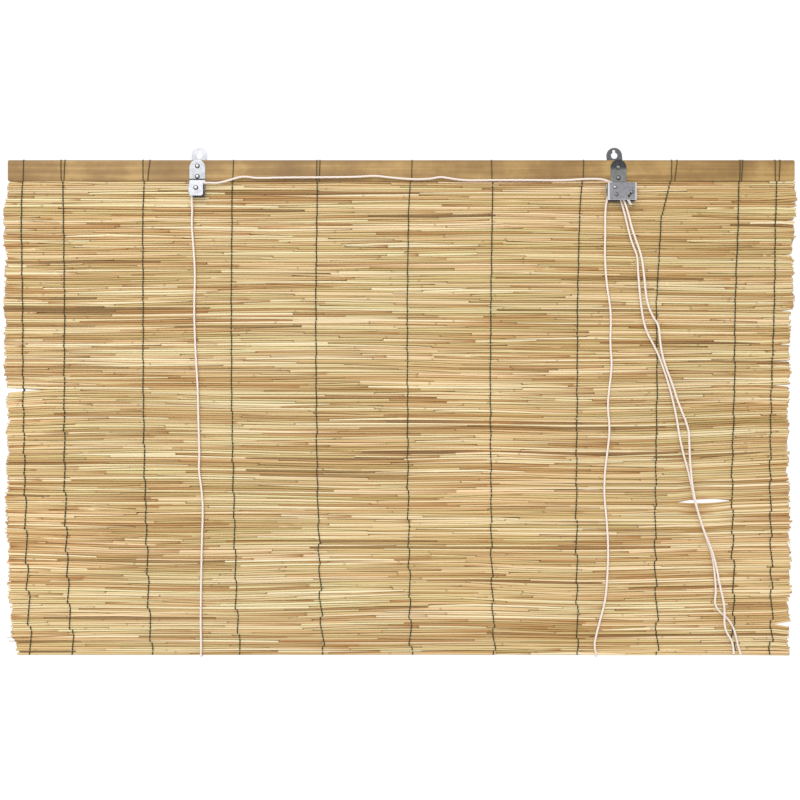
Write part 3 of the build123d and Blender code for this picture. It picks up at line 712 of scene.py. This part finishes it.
def makeReedMaster():
    # one reed along x with nine rings at x = 0 to 8, unit radius and a hollow at each end
    bpy.ops.mesh.primitive_cylinder_add(
        vertices=reed["sides"], radius=1, depth=reed["segments"], location=(reed["segments"] / 2, 0, 0),
        rotation=(0, math.pi / 2, 0), end_fill_type="NGON",
    )
    bpy.ops.object.transform_apply(location=True, rotation=True, scale=True)
    master = bpy.context.object
    bpy.ops.object.mode_set(mode="EDIT")
    for cut in range(1, reed["segments"]):
        bpy.ops.mesh.select_all(action="SELECT")
        bpy.ops.mesh.bisect(plane_co=(cut, 0, 0), plane_no=(1, 0, 0))
    bpy.ops.mesh.select_all(action="DESELECT")
    bpy.ops.object.mode_set(mode="OBJECT")
    for face in master.data.polygons:
        face.select = len(face.vertices) == reed["sides"]
    bpy.ops.object.mode_set(mode="EDIT")
    bpy.ops.mesh.select_mode(type="FACE")
    bpy.ops.mesh.inset(thickness=reed["hollowInset"], depth=reed["hollowDepth"])
    bpy.ops.object.mode_set(mode="OBJECT")
    return master


master = makeReedMaster()
masterPoints = np.array([vertex.co for vertex in master.data.vertices])
masterFaces = [tuple(face.vertices) for face in master.data.polygons]
bpy.data.objects.remove(master)
lastRing = reed["segments"]
inHollow = np.hypot(masterPoints[:, 1], masterPoints[:, 2]) < reed["hollowWithin"]
ringOf = np.clip(np.rint(masterPoints[:, 0]), 0, lastRing).astype(int)
ringOf[inHollow & (masterPoints[:, 0] < lastRing / 2)] = 0
ringOf[inHollow & (masterPoints[:, 0] > lastRing / 2)] = lastRing


def shareCourse(start, end, isLens, chance):
    # places along a row where reeds end: x, the upper lane's share of the height
    # before and after it, and whether it is the upper lane that ends there. None end in the lens.
    places = []
    x = start - chance.uniform(*reed["leadIn"])
    upperThin = chance.random() < 0.5
    while x < end + reed["runOut"]:
        before = chance.uniform(reed["thinnest"], reed["thickest"])
        after = min(reed["fullest"], before + chance.choice(reed["thicknessSteps"]))
        if chance.random() < 0.5:
            before, after = after, before
        if not upperThin:
            before, after = 1 - before, 1 - after
        if not isLens or abs(x - mat["lostX"]) > mat["lostHalfLength"] + reed["lensMargin"]:
            places.append((x, before, after, upperThin))
        x += chance.uniform(reed["shortest"], reed["longest"])
        upperThin = not upperThin
    return places


def shareAt(places, x, isUpper, jumps):
    # a lane's share of the row's height at x: where jumps is set it jumps where its own reeds
    # meet, and it runs on past the ends of the other lane's
    for (xA, beforeA, afterA, upperA), (xB, beforeB, afterB, upperB) in zip(places, places[1:]):
        if x <= xB:
            first = afterA if jumps and upperA == isUpper else (beforeA + afterA) / 2
            last = beforeB if jumps and upperB == isUpper else (beforeB + afterB) / 2
            share = first + (last - first) * (x - xA) / (xB - xA)
            return share if isUpper else 1 - share
    return 0.5


def reedRings(row, start, end, chance):
    # x of the nine rings: both ends, a joint somewhere along, and two between. Beside the lens and the
    # wide partings the rings stand where the reed has to bend.
    joint = start + (end - start) * chance.uniform(*reed["jointSpan"])
    near, lens, half, edge = reed["jointSpread"], mat["lostX"], mat["lostHalfLength"], reed["lensEdge"]
    inside = [(start + joint) / 2, joint - near, joint, joint + near, (joint + end) / 2]
    if isByLens(row) and start < lens - half - edge and lens + half + edge < end:
        inside = [lens + half * share for share in reed["lensRings"]]
    for rowAbove, inner, outer, halfHeight in mat["partings"]:
        isBeside = halfHeight > mat["widePartingFrom"] and abs(row - rowAbove) < mat["partingReach"]
        if isBeside and start < inner < end:
            fixed = start if outer > inner else end
            share = abs(inner - fixed) / (end - start)
            inside = [fixed + (x - fixed) * share for x in inside]
            inside[-1 if outer > inner else 0] = inner
    return np.array([start, start + reed["tip"], *inside, end - reed["tip"], end])


def pickKind(kinds, kind):
    # what follows the first limit above kind, in a list that ends with the limit 1.0
    return next(values for limit, *values in kinds if kind < limit)


def reedTone(chance):
    return chance.uniform(*pickKind(reed["toneKinds"], chance.random()))


def sheathRings(chance):
    # how brown each ring is: a sheath up to the joint, a browned end, all of the reed, or none
    rings = pickKind(reed["sheathKinds"], chance.random())[0]
    return chance.uniform(*reed["sheathStrength"]) * np.array(rings)


def layReed(row, isUpper, isFront, places, start, end, chance, points, marks):
    rings = reedRings(row, start, end, chance)
    height = mat["pitch"] - (reed["rowGap"] if isFront else reed["backRowGap"])
    centreZ, centreY, radii = [], [], []
    for x in rings:
        within = min(max(x, start + reed["endInset"]), end - reed["endInset"])
        share = shareAt(places, within, isUpper, isFront)
        z = rowHeight(x, row)
        if isFront:
            radius = max(reed["leastRadius"], share * height / 2)
        else:
            radius = (1 - share) * height / 2 + reed["backOverlap"] / 2
            z -= reed["backDrop"] * (1 - openness(x, row)[1])
        away = height / 2 - radius
        centreZ.append(z + (away if isUpper else -away))
        centreY.append(mat["frontY"] + radius if isFront else mat["backY"] - radius)
        radii.append(radius)
    wander = np.array(reed["ringWander"]) * chance.uniform(-reed["wander"], reed["wander"])
    lean = chance.uniform(-1, 1) * reed["tilt"] * (2 * (rings - start) / (end - start) - 1)
    radii = np.array(radii) * reed["ringGrow"]
    isSplinter = isFront and start == reed["splinters"].get((row, isUpper))
    if isSplinter:
        rings[1] = start + reed["splinterTip"]
        radii[:2] *= reed["splinterWidth"]
    centreZ = np.array(centreZ) + (wander + lean if isFront else 0)
    centreY = np.array(centreY)
    placed = np.empty_like(masterPoints)
    placed[:, 0] = rings[ringOf]
    placed[:, 1] = centreY[ringOf] + masterPoints[:, 1] * radii[ringOf]
    placed[:, 2] = centreZ[ringOf] + masterPoints[:, 2] * radii[ringOf]
    placed[inHollow & (ringOf == 0), 0] += reed["hollow"]
    placed[inHollow & (ringOf == lastRing), 0] -= reed["hollow"]
    points.append(placed * mm)
    sheath = sheathRings(chance)
    knot = np.zeros(lastRing + 1)
    knot[lastRing // 2] = chance.choice(reed["jointMarks"]) * (not isByLens(row))
    knot[0] = chance.choice(reed["endMarks"])
    knot[lastRing] = chance.choice(reed["endMarks"])
    colours = np.empty((len(masterPoints), 4))
    colours[:, 0] = reedTone(chance) * (reed["splinterTone"] if isSplinter else 1.0)
    colours[:, 1] = sheath[ringOf]
    # the hollow ends carry painted shade in the knot channel
    colours[:, 2] = np.where(inHollow, reed["hollowShade"], knot[ringOf])
    colours[:, 3] = chance.choice(reed["tints"])
    marks.append(colours)


def layRow(row, points, marks):
    chance = random.Random(reed["seed"] * reed["seedStep"] + row)
    depth = rowDepth(row)
    rowLeft = alongCourse(mat["left"], depth) + sideWander(row, chance) + cornerCut(row)
    rowRight = alongCourse(mat["right"], depth) + sideWander(row + mat["rows"], chance)
    places = shareCourse(rowLeft, rowRight, isByLens(row), chance)
    least = reed["shortestAtSide"]
    for isFront in (True, False):
        for isUpper in (True, False):
            ends = [x for x, _, _, upperEnds in places if upperEnds == (isUpper == isFront)]
            low = max(rowLeft + chance.uniform(-1, 1) * reed["endSpread"], reedBox[0].x)
            high = min(rowRight + chance.uniform(-1, 1) * reed["endSpread"], reedBox[1].x)
            if isFront:
                low = reed["splinters"].get((row, isUpper), low)
            stops = [low] + [x for x in ends if low + least < x < high - least] + [high]
            for start, end in zip(stops, stops[1:]):
                layReed(row, isUpper, isFront, places, start, end, chance, points, marks)


def makeReedPiece(name, firstRow, lastRow):
    points, marks = [], []
    for row in range(firstRow, lastRow):
        layRow(row, points, marks)
    faces = []
    for number in range(len(points)):
        shift = number * len(masterPoints)
        faces += [tuple(corner + shift for corner in face) for face in masterFaces]
    mesh = bpy.data.meshes.new(name)
    mesh.from_pydata(np.concatenate(points).tolist(), [], faces)
    attribute = mesh.color_attributes.new("reedMarksAndHollowShade", "FLOAT_COLOR", "POINT")
    attribute.data.foreach_set("color", np.concatenate(marks).ravel())
    mesh.materials.append(reedMaterial)
    piece = bpy.data.objects.new(name, mesh)
    bpy.context.scene.collection.objects.link(piece)
    bpy.ops.object.select_all(action="DESELECT")
    piece.select_set(True)
    bpy.context.view_layer.objects.active = piece
    bpy.ops.object.shade_smooth_by_angle(angle=math.radians(reed["smoothAngle"]))
    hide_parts("reed_mat")
    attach(piece, "hanging_frame")
    print(name, len(points), "reeds")


for name, firstRow, lastRow in reed["pieces"]:
    makeReedPiece(name, firstRow, lastRow)


# Stitches: two twine strands that cross between the rows, and one or two turns over the headrail

stitch = {
    "roundness": 1,
    "steps": 2,
    "radius": 0.76,
    "railRadius": 0.60,
    "railLift": 0.35,
    "frontY": -9.85,
    "backY": -3.15,
    "depths": [35.5, 82.0, 189.0, 295.0, 402.0, 509.0, 580.0, 637.0],
    "courses": [
        ([-486.8], [-488.1, -489.8, -488.1, -487.5, -485.4, -482.6, -479.8, -476.4]),
        ([-439.3, -434.2], [-436.9, -436.1, -434.8, -435.1, -434.6, -431.5, -428.5, -421.6]),
        ([-335.1, -326.3], [-333.4, -335.4, -335.0, -334.9, -333.2, -329.6, -327.3, -323.0]),
        ([-220.2], [-221.9, -222.1, -223.0, -222.6, -220.8, -218.0, -215.8, -211.4]),
        ([-114.3, -110.4], [-113.9, -114.4, -115.8, -115.3, -114.2, -111.6, -109.8, -105.9]),
        ([6.5], [4.3, 2.0, 0.5, 0.9, 1.3, 2.8, 4.2, 5.9]),
        ([107.4], [109.1, 108.2, 106.7, 105.7, 106.6, 107.1, 108.7, 110.6]),
        ([224.4], [222.5, 219.2, 216.7, 216.3, 215.3, 215.8, 216.4, 217.3]),
        ([336.2, 343.0], [334.8, 323.0, 316.8, 317.6, 315.9, 314.9, 316.8, 317.2]),
        ([423.0, 426.4], [421.5, 421.0, 416.9, 416.2, 413.1, 414.3, 415.7, 414.2]),
        ([467.5, 473.8], [469.7, 468.0, 466.7, 462.8, 461.0, 462.2, 462.9, 461.2]),
    ],
    "railTop": -8.4,
    "railBottom": -35.1,
    "railFront": -9.5,
    "railBack": -1.0,
    "railMiddle": -5.2,
    "tuckFront": -7.2,
    "tuckBack": -3.2,
    "tuckRise": 0.5,
    "turnRise": 0.4,
    "frontBend": 4,
    "backBend": 5,
    "crown": 0.1,
    "railScatter": 0.4,
    "lean": 0.3,
    "reach": 0.43,
    "scatter": 0.2,
    "wander": 0.4,
    "lowWander": 2.7,
    "lowPower": 2.5,
    "driftRows": (5, 8),
    "driftShare": (0.5, 1.0),
    "stepBackRows": 1.3,
    "stepBackShare": 0.8,
    "sideNumbers": (1, 2, 10, 11),
    "sideShare": 1.35,
}


def newTube(name, radius, roundness, steps):
    curve = bpy.data.curves.new(name, "CURVE")
    curve.dimensions = "3D"
    curve.bevel_depth = radius * mm
    curve.bevel_resolution = roundness
    curve.resolution_u = steps
    curve.use_fill_caps = True
    return curve


def addSpline(curve, points, thickness=1.0):
    spline = curve.splines.new("NURBS")
    spline.points.add(len(points) - 1)
    for point, place in zip(spline.points, points):
        point.co = (place[0] * mm, place[1] * mm, place[2] * mm, 1)
        point.radius = thickness
    spline.order_u = 3
    spline.use_endpoint_u = True


def wanderCourse(chance, isSide):
    # (row, sideways shift) pairs: a slow drift to one side and a quick step back, wider low down
    shifts = [(0, 0)]
    row = 0
    side = chance.choice((-1, 1))
    while row < mat["rows"]:
        row += chance.randint(*stitch["driftRows"])
        width = stitch["wander"] + stitch["lowWander"] * (row / mat["rows"]) ** stitch["lowPower"]
        if isSide:
            width *= stitch["sideShare"]
        shift = side * width * chance.uniform(*stitch["driftShare"])
        shifts += [(row, shift), (row + stitch["stepBackRows"], -stitch["stepBackShare"] * shift)]
    return shifts


def railLoop(railX, startX, chance):
    # one turn of twine round the headrail, from under its front edge over the top to its back edge
    lift, bend, backBend = stitch["railLift"], stitch["frontBend"], stitch["backBend"]
    front, back = stitch["railFront"] - lift, stitch["railBack"] + lift
    top, bottom = stitch["railTop"] + lift, stitch["railBottom"] - lift
    turn, tuck = bottom + stitch["turnRise"], bottom + stitch["tuckRise"]
    scatter = stitch["railScatter"]
    lowX = railX + (startX - railX) * stitch["lean"] + chance.uniform(-scatter, scatter)
    middleX = (railX + lowX) / 2 + chance.uniform(-scatter, scatter)
    return [
        (lowX, stitch["tuckFront"], tuck), (lowX, front, turn), (lowX, front, bottom + bend),
        (middleX, front, (top + bottom) / 2), (railX, front, top - bend), (railX, front, top),
        (railX, stitch["railMiddle"], top + stitch["crown"]), (railX, back, top),
        (railX, back, top - backBend), (middleX, back, (top + bottom) / 2),
        (lowX, back, bottom + backBend), (lowX, back, turn), (lowX, stitch["tuckBack"], tuck),
    ]


def makeStitch(number, railXs, matXs):
    name = f"twineStitch{number:02d}"
    curve = newTube(name, stitch["radius"], stitch["roundness"], stitch["steps"])
    chance = random.Random(number)
    course = list(zip(stitch["depths"], matXs))
    shifts = wanderCourse(chance, number in stitch["sideNumbers"])
    reach = mat["pitch"] * stitch["reach"]
    scatter = stitch["scatter"]
    for strand in (0, 1):
        points = []
        for row in range(mat["rows"]):
            x = alongCourse(course, rowDepth(row)) + alongCourse(shifts, row)
            z = rowHeight(x, row)
            y = stitch["frontY"] if (row + strand) % 2 == 0 else stitch["backY"]
            points.append((x + chance.uniform(-scatter, scatter), y, z + reach))
            points.append((x + chance.uniform(-scatter, scatter), y, z - reach))
        addSpline(curve, points)
    startX = alongCourse(course, stitch["depths"][0])
    for railX in railXs:
        addSpline(curve, railLoop(railX, startX, chance), stitch["railRadius"] / stitch["radius"])
    curve.materials.append(twineMaterial)
    piece = bpy.data.objects.new(name, curve)
    bpy.context.scene.collection.objects.link(piece)
    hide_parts(f"stitch_{number:02d}")
    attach(piece, "hanging_frame")


for number, (railXs, matXs) in enumerate(stitch["courses"], start=1):
    makeStitch(number, railXs, matXs)
print("stitches made")


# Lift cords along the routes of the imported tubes, in mm

cord = {
    "roundness": 4,
    "steps": 12,
    "diameter": 2.5,
    "left": [
        (-271.0, -2.3, -13.0), (-271.0, -2.3, -55.0), (-269.6, -2.3, -113.0), (-268.6, -2.3, -172.0),
        (-265.9, -2.3, -231.0), (-264.6, -2.3, -290.0), (-262.5, -2.3, -349.0), (-262.3, -2.3, -408.0),
        (-260.7, -2.3, -467.0), (-261.5, -2.3, -525.0), (-260.9, -2.3, -579.0), (-261.4, -2.3, -608.0),
        (-261.2, -2.3, -623.5), (-261.3, -2.3, -639.3), (-261.3, -10.7, -639.3), (-260.8, -10.7, -623.5),
        (-261.6, -10.7, -594.0), (-260.9, -10.7, -545.0), (-259.9, -10.7, -492.0), (-258.3, -10.7, -449.0),
        (-260.6, -10.7, -423.5), (-264.0, -10.7, -402.0), (-262.8, -10.7, -381.7), (-264.3, -10.7, -342.5),
        (-264.9, -10.7, -300.0), (-268.2, -10.7, -250.0), (-270.0, -10.7, -195.0), (-268.3, -10.7, -154.7),
        (-270.5, -10.7, -119.2), (-273.0, -10.7, -90.0), (-271.7, -11.4, -73.0), (-271.95, -13.4, -58.0),
        (-271.95, -13.4, -39.6), (-259.3, -13.4, -39.6), (-252.8, -13.2, -38.2), (-240.2, -13.0, -39.0),
        (-227.7, -12.6, -36.1), (-213.8, -12.2, -31.3), (-203.7, -12.0, -30.3), (-191.1, -12.0, -32.4),
        (-160.0, -12.0, -31.5), (-104.0, -12.0, -31.3), (-62.0, -12.1, -30.8), (-40.4, -12.1, -29.2),
        (-23.9, -12.0, -31.3), (8.0, -12.0, -34.1), (30.5, -12.1, -33.3), (41.9, -12.2, -30.6),
        (53.3, -12.1, -32.5), (72.3, -12.0, -35.3), (108.0, -12.0, -34.8), (160.0, -12.2, -34.9),
        (196.1, -13.0, -35.5), (218.6, -14.2, -34.4), (236.0, -15.2, -34.1), (248.0, -15.8, -35.2),
        (254.6, -16.0, -37.9), (264.4, -16.0, -42.4), (273.0, -15.7, -59.4), (279.3, -15.2, -77.3),
        (284.3, -14.5, -98.3), (295.6, -14.5, -128.5), (298.8, -14.5, -148.5), (302.4, -14.5, -188.5),
        (310.0, -14.5, -207.5), (318.2, -14.5, -218.6), (319.6, -14.5, -240.5), (324.0, -14.5, -264.5),
        (336.6, -14.5, -296.8), (341.8, -14.5, -315.0), (355.7, -14.5, -347.9), (356.4, -14.5, -366.0),
        (357.3, -14.5, -389.0), (360.2, -14.5, -421.0), (365.6, -14.5, -448.0), (374.0, -14.5, -476.1),
        (383.8, -14.5, -499.0), (390.3, -14.5, -521.0), (395.0, -14.5, -547.0), (400.4, -14.5, -569.5),
        (401.2, -14.5, -583.0), (400.6, -14.5, -595.4), (403.1, -14.5, -606.1), (409.2, -14.5, -615.0),
        (412.2, -14.5, -624.4), (412.7, -14.5, -634.0),
    ],
    "right": [
        (263.1, -2.3, -13.0), (263.1, -2.3, -55.0), (260.4, -2.3, -113.0), (258.7, -2.3, -172.0),
        (255.3, -2.3, -231.0), (253.9, -2.3, -290.0), (250.9, -2.3, -349.0), (249.3, -2.3, -408.0),
        (246.1, -2.3, -467.0), (244.6, -2.3, -525.0), (242.0, -2.3, -579.0), (241.9, -2.3, -608.0),
        (241.2, -2.3, -623.5), (241.2, -2.3, -639.3), (241.2, -10.7, -639.3), (237.2, -10.7, -624.9),
        (240.3, -10.7, -610.2), (245.6, -10.7, -589.6), (251.4, -10.7, -568.7), (254.4, -10.7, -537.6),
        (255.5, -10.7, -499.6), (253.2, -10.7, -464.0), (249.9, -10.7, -432.4), (251.1, -10.7, -402.0),
        (254.9, -10.7, -374.1), (257.4, -10.7, -348.7), (254.6, -10.7, -324.6), (255.6, -10.7, -305.6),
        (260.4, -10.7, -269.0), (257.5, -10.7, -243.5), (259.3, -10.7, -203.5), (253.4, -10.7, -168.0),
        (250.8, -10.7, -132.0), (251.6, -10.7, -98.0), (251.2, -10.9, -79.5), (252.2, -12.2, -63.0),
        (256.0, -13.2, -52.5), (257.2, -13.2, -41.4), (264.4, -13.2, -41.4), (267.7, -13.2, -50.8),
        (270.2, -13.0, -59.6), (275.4, -12.4, -76.5), (280.4, -11.8, -97.6), (285.0, -11.8, -114.5),
        (292.0, -11.8, -130.5), (292.4, -11.8, -146.0), (294.6, -11.8, -176.0), (298.3, -11.8, -208.0),
        (303.6, -11.8, -227.5), (312.4, -11.8, -243.0), (320.5, -11.8, -260.5), (332.0, -11.8, -294.0),
        (341.0, -11.8, -331.5), (346.6, -11.8, -369.0), (358.6, -11.8, -411.5), (363.8, -11.8, -440.5),
        (371.6, -11.8, -465.0), (379.6, -11.8, -489.5), (386.6, -11.8, -508.5), (389.6, -11.8, -530.0),
        (391.6, -11.8, -556.4), (389.2, -11.8, -570.9), (396.0, -11.8, -581.9), (405.4, -11.8, -588.5),
        (413.6, -11.8, -601.3), (417.0, -11.8, -614.0), (419.3, -11.8, -625.4), (422.6, -11.8, -635.0),
    ],
    "leftLength": 2.3845,
    "rightLength": 1.8605,
}


def makeCord(name, points, nodeName):
    curve = newTube(name, cord["diameter"] / 2, cord["roundness"], cord["steps"])
    addSpline(curve, points)
    curve.materials.append(cordMaterial)
    piece = bpy.data.objects.new(name, curve)
    bpy.context.scene.collection.objects.link(piece)
    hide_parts(nodeName)
    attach(piece, "hanging_frame")


makeCord("leftLiftCord", cord["left"], "left_lift_cord")
makeCord("rightLiftCord", cord["right"], "right_lift_cord")
print("cords made")


# Floor, lights and camera

studio = {
    "floorZ": -1.5,
    "floorSize": 60.0,
    "tone": (0.97, 0.97, 0.97, 1),
    "floorRoughness": 0.9,
    "worldTone": (1, 1, 1, 1),
    "worldStrength": 1.04,
    "keyEnergy": 50.0,
    "keyPlace": (-0.9, -2.0, 1.5),
    "keySize": 2.6,
    "keyAim": (0, 0, -0.3),
}


def makeStudio():
    bpy.ops.mesh.primitive_plane_add(size=studio["floorSize"], location=(0, 0, studio["floorZ"]))
    floor = bpy.context.object
    floor.name = "studioFloor"
    bpy.ops.object.transform_apply(location=True)
    material, tree, shader = newMaterial("paleFloor")
    shader.inputs["Base Color"].default_value = studio["tone"]
    shader.inputs["Roughness"].default_value = studio["floorRoughness"]
    floor.data.materials.append(material)


def makeLights():
    world = bpy.data.worlds.new("softDaylight")
    world.use_nodes = True
    bpy.context.scene.world = world
    background = world.node_tree.nodes["Background"]
    background.inputs[0].default_value = studio["worldTone"]
    background.inputs[1].default_value = studio["worldStrength"]
    bpy.ops.object.light_add(type="AREA", location=studio["keyPlace"])
    key = bpy.context.object
    key.name = "softKey"
    key.data.shape = "DISK"
    key.data.size = studio["keySize"]
    key.data.energy = studio["keyEnergy"]
    aim = Vector(studio["keyAim"]) - key.location
    key.rotation_euler = aim.to_track_quat("-Z", "Y").to_euler()


makeStudio()
makeLights()

camera = {"place": (-0.00875, -0.9093, -0.3132), "view": 58.88, "clipStart": 0.01}
bpy.ops.object.camera_add(location=camera["place"], rotation=(math.pi / 2, 0, 0))
photoCamera = bpy.context.object
photoCamera.data.sensor_fit = "HORIZONTAL"
photoCamera.data.angle = math.radians(camera["view"])
photoCamera.data.clip_start = camera["clipStart"]
bpy.context.scene.camera = photoCamera
bpy.context.scene.view_settings.view_transform = "Standard"
print("studio ready")
